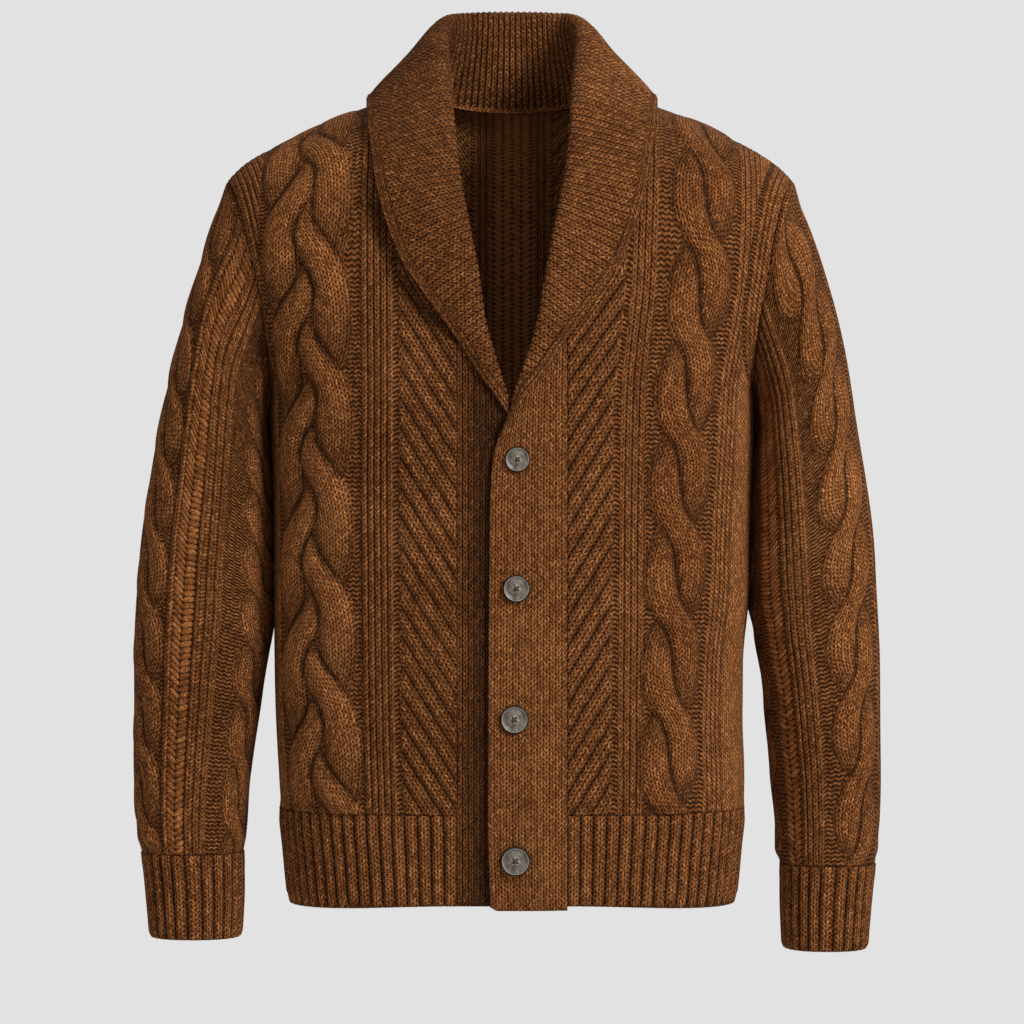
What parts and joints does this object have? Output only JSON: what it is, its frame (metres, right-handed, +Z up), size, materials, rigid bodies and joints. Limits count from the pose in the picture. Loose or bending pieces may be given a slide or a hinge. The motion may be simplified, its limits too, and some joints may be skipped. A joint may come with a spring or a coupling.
{
  "type": "shawl collar cardigan",
  "caption": "Chunky cable-knit cardigan with a rolled shawl collar, buttoned front bands, ribbed hem and cuffs, hollow and filled out as worn.",
  "frame": {"origin": "middle of the neck base, at the height where the garment hangs on the wearer's shoulders", "axes": "+Z up, front towards -Y, the wearer's left at +X"},
  "size_m": [0.6507, 0.2617, 0.8236],
  "materials": {
    "front_right": "heathered chunky wool knit",
    "front_left": "heathered chunky wool knit",
    "back": "heathered chunky wool knit",
    "sleeve_right": "heathered chunky wool knit",
    "sleeve_left": "heathered chunky wool knit",
    "band_right": "heathered chunky wool knit",
    "band_left": "heathered chunky wool knit",
    "welt_front_right": "heathered chunky wool knit",
    "welt_front_left": "heathered chunky wool knit",
    "welt_back": "heathered chunky wool knit",
    "cuff_right": "heathered chunky wool knit",
    "cuff_left": "heathered chunky wool knit",
    "collar": "heathered chunky wool knit",
    "button_1": "satin imitation horn",
    "button_2": "satin imitation horn",
    "button_3": "satin imitation horn",
    "button_4": "satin imitation horn"
  },
  "bodies": {
    "root": {"front_right": "front_right", "front_left": "front_left", "back": "back", "sleeve_right": "sleeve_right", "sleeve_left": "sleeve_left", "band_right": "band_right", "band_left": "band_left", "welt_front_right": "welt_front_right", "welt_front_left": "welt_front_left", "welt_back": "welt_back", "cuff_right": "cuff_right", "cuff_left": "cuff_left", "collar": "collar", "button_1": "button_1", "button_2": "button_2", "button_3": "button_3", "button_4": "button_4"}
  },
  "joints": []
}
